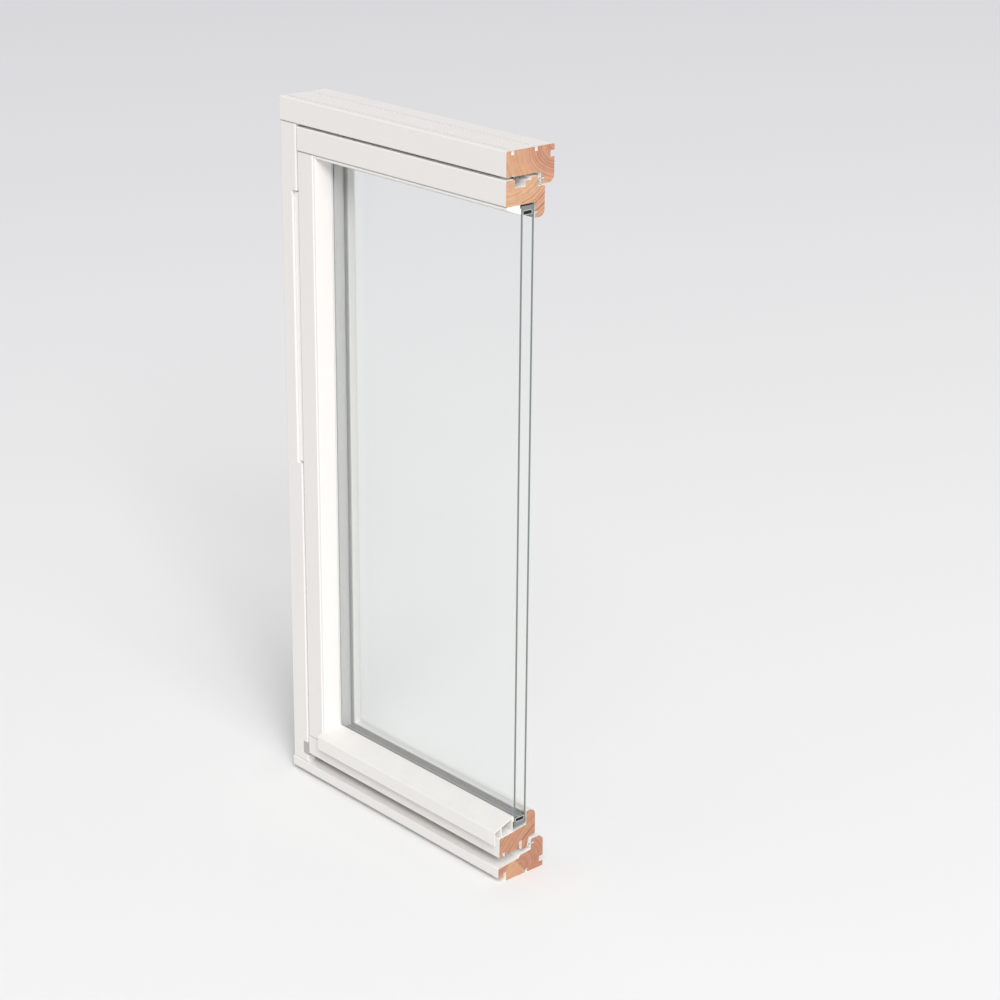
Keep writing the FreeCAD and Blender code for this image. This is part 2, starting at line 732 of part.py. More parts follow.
def drip_bead_end_cap():
    leg_end = DRIP_BEND_Z - DRIP_BEAD_LEG
    corners = drip_bead_outline()
    corners.append((-END_CAP_CLEARANCE, rail_floor_z(DRIP_BEAD_FOOT_Y)))
    corners.append((-END_CAP_CLEARANCE, leg_end))
    return along_bottom(corners, DRIP_BEAD_LEFT - END_CAP_THICKNESS, DRIP_BEAD_LEFT)


# Swing arm that carries the sash


def arm_faces():
    return FRAME_FACE - POCKET_WIDTH + ARM_SIDE_PLAY, FRAME_FACE - ARM_SIDE_PLAY


def swing_arm():
    left, right = arm_faces()
    arm = box(left, right, ARM_SETBACK, ARM_SETBACK + ARM_WIDTH, ARM_BOTTOM, ARM_TOP)
    for z in (ARM_BOTTOM + ARM_PIN_FROM_END, ARM_TOP - ARM_PIN_FROM_END):
        arm = arm.cut(rod(ARM_PIN_RADIUS + PIN_FIT, left, right, ARM_PIN_Y, z))
    low_corner = [edge for edge in arm.Edges if is_low_corner(edge, left)]
    return arm.makeFillet(POCKET_CORNER - ARM_SIDE_PLAY, low_corner)


def is_low_corner(edge, left):
    limits = edge.BoundBox
    return limits.XMax - left < 1e-6 and limits.ZMax - ARM_BOTTOM < 1e-6


def arm_pins():
    left, right = arm_faces()
    root = FRAME_FACE - POCKET_WIDTH - ARM_PIN_ROOT
    frame_pin = rod(ARM_PIN_RADIUS, root, right, ARM_PIN_Y, ARM_BOTTOM + ARM_PIN_FROM_END)
    sash_pin = rod(ARM_PIN_RADIUS, left, SASH_EDGE, ARM_PIN_Y, ARM_TOP - ARM_PIN_FROM_END)
    return frame_pin, sash_pin


def pivot_plate():
    z = ARM_TOP - ARM_PIN_FROM_END
    half = PIVOT_PLATE_LENGTH / 2
    front = PIVOT_PLATE_FRONT
    left = SASH_EDGE - PIVOT_PLATE_THICKNESS
    plate = box(left, SASH_EDGE, front, front + PIVOT_PLATE_WIDTH, z - half, z + half)
    return plate.cut(rod(ARM_PIN_RADIUS + PIN_FIT, left, SASH_EDGE, ARM_PIN_Y, z))


# Collecting and writing the pieces


def pieces():
    top, side, bottom = "_top", "_side", "_bottom"
    found = {
        "frame_head": along_top(frame_corners(), 0),
        "frame_jamb": frame_jamb(),
        "frame_sill": along_bottom(sill_corners(), 0),
        "outer_pane": pane(OUTER_PANE_FRONT),
        "inner_pane": pane(INNER_PANE_FRONT),
        "desiccant": desiccant(),
        "setting_block": setting_block(),
        "location_blocks": location_blocks(),
        "drip_bead": drip_bead(),
        "drip_bead_end_cap": drip_bead_end_cap(),
        "swing_arm": swing_arm(),
        "pivot_plate": pivot_plate(),
        "run_up_block": run_up_block(),
    }
    found.update(zip(("sash_top_rail", "sash_stile", "sash_bottom_rail"), sash_members()))
    found.update(zip(("weather_seal_head", "weather_seal_jamb", "weather_seal_sill"), weather_seals()))
    found.update(zip(("glazing_bead_top", "glazing_bead_side"), glazing_beads()))
    found.update(zip(("arm_frame_pin", "arm_sash_pin"), arm_pins()))
    runs = {
        "spacer_bar": spacer_bars(),
        "edge_seal": edge_seals(),
        "outer_tape": outer_tapes(),
        "inner_tape": inner_tapes(),
    }
    for name, bars in runs.items():
        found.update(zip((name + top, name + side, name + bottom), bars))
    return found


os.makedirs("parts", exist_ok=True)
for name, shape in pieces().items():
    solids = [solid.translated(-ORIGIN) for solid in shape.removeSplitter().Solids]
    whole = solids[0] if len(solids) == 1 else Part.makeCompound(solids)
    whole.exportStep(os.path.join("parts", name + ".step"))
    print(name, len(solids), "solid" if len(solids) == 1 else "solids", "valid" if whole.isValid() else "BAD")
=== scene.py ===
"""Dresses the centre pivot window sample: painted pine, sawn ends, sealed glazing, seals and studio."""

import logging
import math
from dataclasses import dataclass
from enum import Enum, IntEnum

import bmesh
import bpy
import numpy as np
from bpy.types import Material, Mesh, Node, NodeOutputs, NodeSocket as Socket, NodeTree, Object
from mathutils import Matrix, Vector


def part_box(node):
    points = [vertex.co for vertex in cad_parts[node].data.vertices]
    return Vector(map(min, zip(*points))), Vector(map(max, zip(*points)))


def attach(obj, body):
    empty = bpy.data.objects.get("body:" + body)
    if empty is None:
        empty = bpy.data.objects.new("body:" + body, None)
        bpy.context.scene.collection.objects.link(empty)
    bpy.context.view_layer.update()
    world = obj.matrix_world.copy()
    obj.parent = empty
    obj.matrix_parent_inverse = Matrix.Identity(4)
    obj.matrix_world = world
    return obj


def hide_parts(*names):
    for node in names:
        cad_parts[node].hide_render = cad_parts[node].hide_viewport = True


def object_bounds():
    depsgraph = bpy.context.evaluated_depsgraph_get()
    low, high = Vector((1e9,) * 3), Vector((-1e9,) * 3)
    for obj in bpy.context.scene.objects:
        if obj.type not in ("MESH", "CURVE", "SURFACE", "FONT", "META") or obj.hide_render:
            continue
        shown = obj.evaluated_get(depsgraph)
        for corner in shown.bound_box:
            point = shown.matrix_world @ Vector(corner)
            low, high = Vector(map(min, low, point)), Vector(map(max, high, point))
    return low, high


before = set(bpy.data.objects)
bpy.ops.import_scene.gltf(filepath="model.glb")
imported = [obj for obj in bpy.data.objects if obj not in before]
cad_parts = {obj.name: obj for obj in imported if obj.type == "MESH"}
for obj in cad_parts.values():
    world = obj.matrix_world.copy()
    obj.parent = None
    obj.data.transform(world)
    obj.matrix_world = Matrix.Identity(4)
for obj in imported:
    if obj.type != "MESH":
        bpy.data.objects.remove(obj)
CAD_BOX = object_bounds()

LOG = logging.getLogger("window")
BODY = "root"
MM = 0.001
DAYLIGHT = 0.05 * MM
Colour = tuple[float, float, float, float]
Triple = tuple[float, float, float]
UNSTRETCHED = (1.0, 1.0, 1.0)


def chip(red: int, green: int, blue: int) -> Colour:
    """Turns a colour as a screen shows it into the light values that shaders take.

    Args:
        red: Red from 0 to 255.
        green: Green from 0 to 255.
        blue: Blue from 0 to 255.

    Returns:
        The colour with an alpha of one.
    """
    shown = np.array([red, green, blue]) / 255
    light = np.where(shown <= 0.04045, shown / 12.92, ((shown + 0.055) / 1.055) ** 2.4)
    return *light.tolist(), 1.0


class Run(Enum):
    """The direction in which a member or a seal runs."""

    ACROSS = 0
    UPRIGHT = 2


@dataclass
class Bench:
    """Adds nodes to one node tree and joins their sockets."""

    tree: NodeTree

    def feed(self, target: Socket, value: object) -> None:
        """Joins a socket to the target, or writes a plain value on it."""
        if isinstance(value, Socket):
            self.tree.links.new(value, target)
        else:
            target.default_value = value

    def fill(self, node: Node, **values: object) -> NodeOutputs:
        """Sets a node up.

        Args:
            node: The node.
            values: Its settings, in lower case, and its inputs by name, with underscores for spaces.

        Returns:
            The node's outputs.
        """
        for name, value in values.items():
            if name.islower():
                setattr(node, name, value)
            else:
                self.feed(node.inputs[name.replace("_", " ")], value)
        return node.outputs

    def add(self, kind: str, *values: object, **named: object) -> NodeOutputs:
        """Adds one node.

        Args:
            kind: The node's type name, without the leading ShaderNode.
            values: Its inputs in their order.
            named: Its settings, and inputs by name.

        Returns:
            The node's outputs.
        """
        made = self.tree.nodes.new("ShaderNode" + kind)
        self.fill(made, **named)
        for socket, value in zip(made.inputs, values):
            self.feed(socket, value)
        return made.outputs

    def effect(self, name: str, **values: object) -> NodeOutputs:
        """Places a shared effect, with its inputs by name, and returns its outputs."""
        return self.add("Group", node_tree=SharedEffects.group(name), **values)

    def maths(self, operation: str, *values: object) -> Socket:
        """Adds a Math node and returns the result's socket."""
        return self.add("Math", *values, operation=operation)[0]

    def product(self, first: object, *factors: object) -> Socket:
        """Multiplies values or sockets and returns the result's socket."""
        for factor in factors:
            first = self.maths("MULTIPLY", first, factor)
        return first

    def vector_maths(self, operation: str, *values: object) -> Socket:
        """Adds a Vector Math node and returns its number, for a length or a dot product, or its vector."""
        made = self.add("VectorMath", *values, operation=operation)
        return made["Value" if operation in ("LENGTH", "DOT_PRODUCT") else "Vector"]

    def dimmed(self, colour: Socket, factor: Socket) -> Socket:
        """Multiplies a colour by a plain value and returns the result's socket."""
        return self.add("VectorMath", colour, operation="SCALE", Scale=factor)["Vector"]

    def span(self, value: Socket, low: object, high: object, start: float = 0.0, end: float = 1.0,
             smooth: bool = False) -> Socket:
        """Maps low to start and high to end, eased where it is smooth, and returns the result's socket."""
        easing = "SMOOTHSTEP" if smooth else "LINEAR"
        return self.add("MapRange", value, low, high, start, end, interpolation_type=easing)["Result"]

    def blend(self, share: object, first: object, second: object, plain: bool = False) -> Socket:
        """Mixes two colours or two plain values.

        Args:
            share: How much of the second one shows, from 0 to 1.
            first: The first value or socket.
            second: The second value or socket.
            plain: Whether they are plain values.

        Returns:
            The result's socket.
        """
        outputs = self.add("Mix", share, data_type="FLOAT" if plain else "RGBA")
        inputs = outputs[0].node.inputs
        for socket, value in zip(inputs[2:4] if plain else inputs[6:8], (first, second)):
            self.feed(socket, value)
        return outputs[0 if plain else 2]

    def between(self, share: object, first: object, second: object) -> Socket:
        """Mixes two plain values and returns the result's socket."""
        return self.blend(share, first, second, plain=True)

    def noise(self, vector: Socket, scale: object, detail: float = 2.0, roughness: float = 0.5) -> Socket:
        """Adds noise with so many lumps in a metre, and returns its value, a half on average."""
        return self.add("TexNoise", Vector=vector, Scale=scale, Detail=detail, Roughness=roughness)["Fac"]

    def swing(self, value: Socket) -> Socket:
        """Shifts a noise's value so that it swings about zero."""
        return self.maths("SUBTRACT", value, 0.5)

    def place(self, scale: Triple = UNSTRETCHED) -> Socket:
        """Returns Object coordinates, stretched by a Mapping node."""
        return self.add("Mapping", self.add("TexCoord")["Object"], Scale=scale)["Vector"]


class SharedEffects:
    """Effects that several finishes use, each built once as a node group."""

    made: dict[str, NodeTree] = {}
    vectors: tuple[str, ...] = ("Vector", "Pith")
    colours: tuple[str, ...] = ("Color", "Dust", "Rubbed", "Hidden", "Spring", "Summer", "Heart")

    @classmethod
    def start(cls, name: str, *takes: str, gives: tuple[str, ...] = ("Color",)) -> tuple[Bench, Node, list]:
        """Starts a group with named sockets.

        Args:
            name: The group's name.
            takes: The inputs' names.
            gives: The outputs' names.

        Returns:
            The bench for the group, its output node, and the sockets that bring its inputs.
        """
        tree = bpy.data.node_groups.new(name, "ShaderNodeTree")
        for way, labels in (("INPUT", takes), ("OUTPUT", gives)):
            for label in labels:
                kind = "Vector" if label in cls.vectors else "Color" if label in cls.colours else "Float"
                tree.interface.new_socket(label, in_out=way, socket_type="NodeSocket" + kind)
        cls.made[name] = tree
        brought = list(tree.nodes.new("NodeGroupInput").outputs)[:len(takes)]
        return Bench(tree), tree.nodes.new("NodeGroupOutput"), brought

    @classmethod
    def group(cls, name: str) -> NodeTree:
        """Returns an effect's group by its name, and builds it the first time."""
        if name not in cls.made:
            getattr(cls, name)()
        return cls.made[name]

    @classmethod
    def tone_drift(cls) -> None:
        """Builds a slow change of tone: the colour times one plus a small noise about zero."""
        bench, leave, (place, colour, amount, scale) = cls.start(
            "tone_drift", "Vector", "Color", "Amount", "Scale")
        broad = bench.noise(place, scale, detail=3.0)
        fine = bench.noise(place, bench.product(scale, 9.0))
        lift = bench.product(bench.swing(bench.between(0.35, broad, fine)), amount)
        bench.fill(leave, Color=bench.dimmed(colour, bench.maths("MULTIPLY_ADD", lift, 2.0, 1.0)))

    @classmethod
    def film_texture(cls) -> None:
        """Builds a coat's skin: roughness about a middle value, and a height of broad flow and fine peel."""
        bench, leave, (place, scale, middle, spread) = cls.start(
            "film_texture", "Vector", "Scale", "Roughness", "Spread", gives=("Roughness", "Height"))
        broad = bench.noise(place, scale)
        fine = bench.noise(place, bench.product(scale, 6.0), detail=3.0, roughness=0.6)
        lift = bench.swing(bench.between(0.5, broad, fine))
        bench.fill(leave, Roughness=bench.maths("MULTIPLY_ADD", lift, spread, middle),
                   Height=bench.between(0.6, broad, fine))

    @classmethod
    def settled_dust(cls) -> None:
        """Builds a thin veil of dust: patchy, and only where the surface looks up."""
        bench, leave, (place, colour, dust, amount) = cls.start(
            "settled_dust", "Vector", "Color", "Dust", "Amount")
        normal = bench.add("SeparateXYZ", bench.add("NewGeometry")["Normal"])
        upward = bench.span(normal["Z"], 0.3, 0.95, smooth=True)
        lumps = bench.noise(place, 22.0, detail=5.0, roughness=0.65)
        share = bench.product(upward, bench.span(lumps, 0.35, 0.7, smooth=True), amount)
        bench.fill(leave, Color=bench.blend(share, colour, dust))

    @classmethod
    def edge_rub_and_sheen(cls) -> None:
        """Builds a rubbed arris with a painted highlight: the arris turns to a paler tone by how far the
        rounded normal turns from the flat one, broken up by noise.
        """
        bench, leave, (place, colour, rubbed_and_sheen_tone, amount, radius) = cls.start(
            "edge_rub_and_sheen", "Vector", "Color", "Rubbed", "Amount", "Radius")
        rounded = bench.add("Bevel", samples=4, Radius=radius)["Normal"]
        lean = bench.vector_maths("DOT_PRODUCT", rounded, bench.add("NewGeometry")["Normal"])
        turned = bench.span(lean, 0.995, 0.8, smooth=True)
        lumps = bench.noise(place, 160.0, detail=3.0, roughness=0.6)
        share = bench.product(turned, bench.span(lumps, 0.3, 0.75), amount)
        bench.fill(leave, Color=bench.blend(share, colour, rubbed_and_sheen_tone))

    @classmethod
    def painted_corner_light_and_shade(cls) -> None:
        """Builds painted light and shade in gaps and corners: as nearby surfaces shut a point in, a growing
        share blends the colour towards a given tone; a pale tone paints light there and a dark tone paints
        shade.
        """
        bench, leave, (colour, painted_corner_tone, amount, reach) = cls.start(
            "painted_corner_light_and_shade", "Color", "Hidden", "Amount", "Reach")
        shut = bench.add("AmbientOcclusion", samples=4, Distance=reach)["AO"]
        share = bench.product(bench.span(shut, 0.7, 0.25, smooth=True), amount)
        bench.fill(leave, Color=bench.blend(share, colour, painted_corner_tone))

    @classmethod
    def pine_rings(cls) -> None:
        """Builds sawn pine end grain.

        The distance from the pith, bent by noise, is cut into years of uneven width. Each year darkens
        from its spring wood to its summer wood and starts light again, and each has its own strength.
        The heart is redder and its years are plainer. Rays run out from the pith, resin ducts are fine
        specks, and the saw leaves faint upright lines.
        """
        bench, leave, (place, pith, year, spring, summer, heart, near, far) = cls.start(
            "pine_rings", "Vector", "Pith", "Year", "Spring", "Summer", "Heart", "Heart Near", "Heart Far",
            gives=("Color", "Roughness", "Height"))
        bend_size, wave_size, uneven_size = 10.0 * MM, 1.4 * MM, 12.0 * MM
        away = bench.vector_maths("SUBTRACT", place, pith)
        flat = bench.vector_maths("MULTIPLY", away, (0.0, 1.0, 1.0))
        bend = bench.swing(bench.noise(place, 24.0))
        wave = bench.swing(bench.noise(place, 240.0))
        bent = bench.maths("MULTIPLY_ADD", bend, bend_size, bench.vector_maths("LENGTH", flat))
        bent = bench.maths("MULTIPLY_ADD", wave, wave_size, bent)
        uneven = bench.swing(bench.noise(bench.add("CombineXYZ", bent)["Vector"], 70.0, detail=1.0))
        years = bench.maths("DIVIDE", bench.maths("MULTIPLY_ADD", uneven, uneven_size, bent), year)
        season = bench.maths("FRACT", years)
        late = bench.product(bench.span(season, 0.1, 0.8, smooth=True),
                             bench.span(season, 0.84, 1.0, 1.0, 0.0, smooth=True))
        lot = bench.add("TexWhiteNoise", noise_dimensions="1D", W=bench.maths("FLOOR", years))["Value"]
        inside = bench.span(bent, near, far, smooth=True)
        plainness = bench.span(inside, 0.0, 1.0, 0.35, 0.9)
        strength = bench.product(late, bench.product(bench.span(lot, 0.0, 1.0, 0.3, 1.0), plainness))
        tone = bench.blend(strength, bench.blend(inside, spring, heart), summer)
        rays = bench.span(bench.noise(bench.vector_maths("NORMALIZE", flat), 150.0), 0.3, 0.7, 0.94, 1.06)
        specks = bench.span(bench.noise(place, 1900.0, detail=1.0), 0.62, 0.72, 1.0, 0.86)
        patches = bench.span(bench.noise(place, 75.0, detail=3.0), 0.3, 0.7, 0.93, 1.07)
        saw = bench.add("TexWave", bands_direction="Y", Vector=place, Scale=130.0, Distortion=3.0,
                        Detail=2.0)["Fac"]
        shade = bench.product(rays, specks, patches, bench.span(saw, 0.0, 1.0, 0.98, 1.02))
        bench.fill(leave, Color=bench.dimmed(tone, shade), Roughness=bench.span(late, 0.0, 1.0, 0.75, 0.6),
                   Height=bench.maths("MULTIPLY_ADD", saw, 0.4, late))


def fresh_material(name: str) -> tuple[Material, Bench, Node]:
    """Starts a material with one Principled shader.

    Args:
        name: The material's name.

    Returns:
        The material, a bench for its tree, and its shader.
    """
    material = bpy.data.materials.new(name)
    material.use_nodes = True
    tree = material.node_tree
    return material, Bench(tree), tree.nodes["Principled BSDF"]


@dataclass(frozen=True)
class Coating:
    """An opaque finish with its own colour, skin and relief."""

    name: str
    colour: Colour
    roughness: float = 0.45
    spread: float = 0.15
    stretch: Triple = UNSTRETCHED
    scale: float = 120.0
    patch: float = 12.0
    drift: float = 0.03
    relief: float = 0.15
    depth: float = 0.4 * MM
    metallic: float = 0.0
    dust: float = 0.1
    dust_tone: Colour = chip(196, 190, 180)
    # The rub amount and its tone turn the arrises paler: partly rubbed wear, partly a painted highlight.
    rub_and_sheen: float = 0.25
    rubbed_and_sheen_tone: Colour = (0.92, 0.91, 0.89, 1.0)
    edge: float = 1.2 * MM
    # By default gaps and corners blend towards a darker tone: painted shade.
    grime: float = 0.25
    painted_corner_tone: Colour = chip(120, 116, 111)
    reach: float = 2.0 * MM

    def tone(self, bench: Bench, along: Socket, plain: Socket) -> Socket:
        """Layers the coat's colour: drifting tone, dust on top faces, rubbed arrises with a painted
        highlight, and painted light and shade in gaps and corners from the corner tone.

        Args:
            bench: The material's bench.
            along: Coordinates that follow the coat's run.
            plain: Coordinates for dust and wear.

        Returns:
            The colour's socket.
        """
        tone = bench.effect("tone_drift", Vector=along, Color=self.colour, Amount=self.drift,
                            Scale=self.scale / self.patch)["Color"]
        tone = bench.effect("settled_dust", Vector=plain, Color=tone, Dust=self.dust_tone,
                            Amount=self.dust)["Color"]
        tone = bench.effect("edge_rub_and_sheen", Vector=plain, Color=tone, Rubbed=self.rubbed_and_sheen_tone, Amount=self.rub_and_sheen,
                            Radius=self.edge)["Color"]
        return bench.effect("painted_corner_light_and_shade", Color=tone, Hidden=self.painted_corner_tone, Amount=self.grime,
                            Reach=self.reach)["Color"]

    def skin(self, bench: Bench, along: Socket) -> NodeOutputs:
        """Places the coat's skin and returns its roughness and height."""
        return bench.effect("film_texture", Vector=along, Scale=self.scale, Roughness=self.roughness,
                            Spread=self.spread)

    def bump(self, bench: Bench, height: Socket) -> Socket:
        """Returns the normal that a height gives with the coat's relief."""
        return bench.add("Bump", Strength=self.relief, Distance=self.depth, Height=height)["Normal"]

    def build(self) -> Material:
        """Builds the finish.

        Returns:
            The material.
        """
        material, bench, shader = fresh_material(self.name)
        place = bench.place(self.stretch)
        skin = self.skin(bench, place)
        bench.fill(shader, Base_Color=self.tone(bench, place, place), Roughness=skin["Roughness"],
                   Metallic=self.metallic, Normal=self.bump(bench, skin["Height"]))
        return material


def sheltered(name: str, colour: Colour, **look: object) -> Coating:
    """Returns a coating with no dust, and no rubbed wear or painted highlight on its arrises."""
    return Coating(name, colour, dust=0.0, rub_and_sheen=0.0, **look)


@dataclass(frozen=True)
class Lamella:
    """One layer of a laminated member: where its pith lay and how its wood is coloured."""

    pith: tuple[float, float]
    year: float
    heart_near: float
    heart_far: float
    spring: Colour = chip(207, 160, 125)
    summer: Colour = chip(160, 103, 82)
    heart: Colour = chip(188, 137, 111)

    def grain(self, bench: Bench, place: Socket) -> NodeOutputs:
        """Places this layer's end grain in a material and returns the group's outputs."""
        return bench.effect("pine_rings", Vector=place, Pith=(0.0, *self.pith), Year=self.year,
                            Spring=self.spring, Summer=self.summer, Heart=self.heart,
                            Heart_Near=self.heart_near, Heart_Far=self.heart_far)


@dataclass(frozen=True)
class PaintedPine:
    """White satin paint on laminated pine, with bare end grain where the sample is sawn through."""

    name: str
    run: Run
    front: Lamella
    back: Lamella
    glue_line: Triple = (1.0, 0.0, 0.0)
    glue_half: float = 0.1 * MM
    joints: tuple[float, ...] = ()
    joint_core: float = 0.5 * MM
    joint_edge: float = 1.5 * MM
    joint_share: float = 0.75
    joint_and_shadow_tone: Colour = chip(140, 136, 130)
    brush_run: float = 0.06
    paint_past: float = 0.15 * MM
    bare_past: float = 0.05 * MM
    # Its arrises turn paler, partly rubbed wear and partly a painted highlight, and its gaps and grooves
    # blend towards a paler tone than the paint: painted light.
    paint: Coating = Coating(
        "satin_paint", chip(233, 230, 227), roughness=0.42, spread=0.2, scale=260.0, patch=260.0 / 14.0,
        drift=0.02, relief=0.12, depth=0.3 * MM, dust=0.08, dust_tone=chip(205, 200, 190), rub_and_sheen=0.5,
        rubbed_and_sheen_tone=chip(244, 242, 239), edge=1.5 * MM, grime=1.0, painted_corner_tone=chip(252, 251, 249), reach=14.0 * MM)

    def build(self, sawn_at: float) -> Material:
        """Builds the paint with its brush run, and the end grain at the sawn plane.

        A fine dark line opens in the paint where one member's end meets the next; along the top rail's lower
        edge, above the bead, the same line is a painted shadow of the gap.

        Args:
            sawn_at: Where the sawn plane lies along x, in metres.

        Returns:
            The material.
        """
        material, bench, shader = fresh_material(self.name)
        across = self.run is Run.ACROSS
        along = bench.place((self.brush_run, 1.0, 1.0) if across else (1.0, 1.0, self.brush_run))
        plain = bench.place()
        skin = self.paint.skin(bench, along)
        axes = bench.add("SeparateXYZ", plain)
        sawn = bench.span(axes["X"], sawn_at - self.paint_past, sawn_at - self.bare_past)
        towards_y, towards_z, start = self.glue_line
        depth = bench.maths("MULTIPLY_ADD", axes["Z"], towards_z, bench.product(axes["Y"], towards_y))
        behind = bench.span(depth, start - self.glue_half, start + self.glue_half)
        first, second = self.front.grain(bench, plain), self.back.grain(bench, plain)
        wood = bench.blend(behind, first["Color"], second["Color"])
        painted = self.paint.tone(bench, along, plain)
        for line_height in self.joints:
            away = bench.maths("ABSOLUTE", bench.maths("SUBTRACT", axes["Z"], line_height))
            share = bench.span(away, self.joint_core, self.joint_edge, self.joint_share, 0.0)
            painted = bench.blend(share, painted, self.joint_and_shadow_tone)
        relief = bench.between(behind, first["Height"], second["Height"])
        height = bench.between(sawn, skin["Height"], relief)
        rough = bench.between(sawn, skin["Roughness"], first["Roughness"])
        bench.fill(shader, Base_Color=bench.blend(sawn, painted, wood), Roughness=rough,
                   Normal=self.paint.bump(bench, height))
        return material


@dataclass(frozen=True)
class FloatGlass:
    """Clear float glass with a breath of green and a few faint smears."""

    name: str = "float_glass"
    body: Colour = (0.985, 0.993, 0.989, 1.0)
    shade: Colour = (0.990, 0.994, 0.992, 1.0)
    index: float = 1.52
    drift: float = 0.004
    smear: float = 0.015

    def build(self) -> Material:
        """Builds glass that lets the lamps through.

        Returns:
            The material.
        """
        material, bench, shader = fresh_material(self.name)
        plain = bench.place()
        tint = bench.effect("tone_drift", Vector=plain, Color=self.body, Amount=self.drift, Scale=3.0)
        smear = bench.span(bench.noise(plain, 9.0, detail=4.0), 0.5, 0.85, 0.0, self.smear)
        bench.fill(shader, Base_Color=tint["Color"], Roughness=smear, IOR=self.index,
                   Transmission_Weight=1.0)
        clear = bench.add("BsdfTransparent", self.shade)[0]
        mixed = bench.add("MixShader", bench.add("LightPath")["Is Shadow Ray"], shader.outputs[0], clear)[0]
        bench.fill(bench.tree.nodes["Material Output"], Surface=mixed)
        return material


def dress(material: Material, *nodes: str) -> None:
    """Gives CAD nodes their finish on every slot.

    Args:
        material: The finish.
        nodes: The nodes' names.
    """
    for node in nodes:
        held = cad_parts[node]
        if not held.material_slots:
            held.data.materials.append(material)
        for slot in held.material_slots:
            slot.material = material
        LOG.info("dressed %s in %s", node, material.name)


def stand(name: str, data: bpy.types.ID) -> Object:
    """Makes an object at the origin, adds it to the scene and returns it."""
    made = bpy.data.objects.new(name, data)
    bpy.context.scene.collection.objects.link(made)
    return made


def corners(node: str) -> tuple[np.ndarray, np.ndarray]:
    """Returns the lowest and the highest corner of a node's box."""
    low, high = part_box(node)
    return np.array(low), np.array(high)


def close_seams(mesh: Mesh, turn: bool = True) -> None:
    """Merges corners that meet, and turns the faces of a closed mesh outwards.

    Args:
        mesh: The mesh.
        turn: Whether the mesh is closed, so that its faces have an outer side.
    """
    work = bmesh.new()
    work.from_mesh(mesh)
    bmesh.ops.remove_doubles(work, verts=work.verts, dist=1e-7)
    if turn:
        bmesh.ops.recalc_face_normals(work, faces=work.faces)
    work.to_mesh(mesh)
    work.free()


def net_mesh(name: str, rows: np.ndarray, caps: bool) -> Object:
    """Makes a tube mesh from a net of points.

    Row i, column j of the net is a corner; each face joins (i, j), (i, j + 1), (i + 1, j + 1) and
    (i + 1, j), with j running round. A cap is one face over the first or the last row.

    Args:
        name: The piece's name.
        rows: Points as an array of rows by columns by three, in metres.
        caps: Whether the two ends are closed.

    Returns:
        The new object, at the origin.
    """
    count, around = rows.shape[:2]
    first = np.arange(count - 1)[:, None] * around + np.arange(around)
    after = np.arange(count - 1)[:, None] * around + (np.arange(around) + 1) % around
    faces = np.stack([first, after, after + around, first + around], -1).reshape(-1, 4).tolist()
    if caps:
        faces.append(list(range(around))[::-1])
        faces.append(list(range((count - 1) * around, count * around)))
    mesh = bpy.data.meshes.new(name)
    mesh.from_pydata(rows.reshape(-1, 3).tolist(), [], faces)
    mesh.update()
    if caps:
        close_seams(mesh)
    return stand(name, mesh)


def ring_mesh(name: str, outline: np.ndarray, hollow: np.ndarray) -> Object:
    """Makes a hollow bar from the two ends of its outline and of its hollow.

    The net runs from the hollow at the first end over the outline at both ends to the hollow at the
    second end and back, so the walls and both annular end faces are one closed skin.

    Args:
        name: The piece's name.
        outline: Two rows of outer points, one row for each end.
        hollow: Two rows of inner points that match them.

    Returns:
        The new object, at the origin.
    """
    made = net_mesh(name, np.stack([hollow[0], outline[0], outline[1], hollow[1], hollow[0]]), caps=False)
    close_seams(made.data)
    return made


def eased(corners: np.ndarray, radius: float, steps: int = 5) -> np.ndarray:
    """Rounds every corner of a closed outline.

    A corner p with points a and b at the radius on the sides before and after it becomes the curve
    (1 - t) squared times a, plus 2 t (1 - t) times p, plus t squared times b.

    Args:
        corners: The outline's corners as rows of two.
        radius: How far from a corner its curve starts, at most 0.45 of the shorter side.
        steps: How many points each curve has.

    Returns:
        The rounded outline as rows of two.
    """
    before = np.roll(corners, 1, axis=0) - corners
    after = np.roll(corners, -1, axis=0) - corners
    back = np.linalg.norm(before, axis=1, keepdims=True)
    ahead = np.linalg.norm(after, axis=1, keepdims=True)
    reach = np.minimum(radius, 0.45 * np.minimum(back, ahead))
    start = (corners + before / back * reach)[:, None]
    stop = (corners + after / ahead * reach)[:, None]
    t = np.linspace(0.0, 1.0, steps)[None, :, None]
    curve = (1 - t) ** 2 * start + 2 * t * (1 - t) * corners[:, None] + t ** 2 * stop
    return curve.reshape(-1, 2)


def settle(made: Object, node: str, slot: str, *materials: Material) -> None:
    """Puts a new piece on the body, in the place of a CAD node.

    Args:
        made: The piece.
        node: The node that it stands for.
        slot: The name of the piece's material slot; not used.
        materials: The finishes.
    """
    for material in materials:
        made.data.materials.append(material)
    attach(made, BODY)
    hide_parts(node)
    LOG.info("built %s", made.name)


def ends(node: str) -> tuple[float, float]:
    """Returns the heights at which a node starts and stops."""
    low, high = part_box(node)
    return low.z, high.z


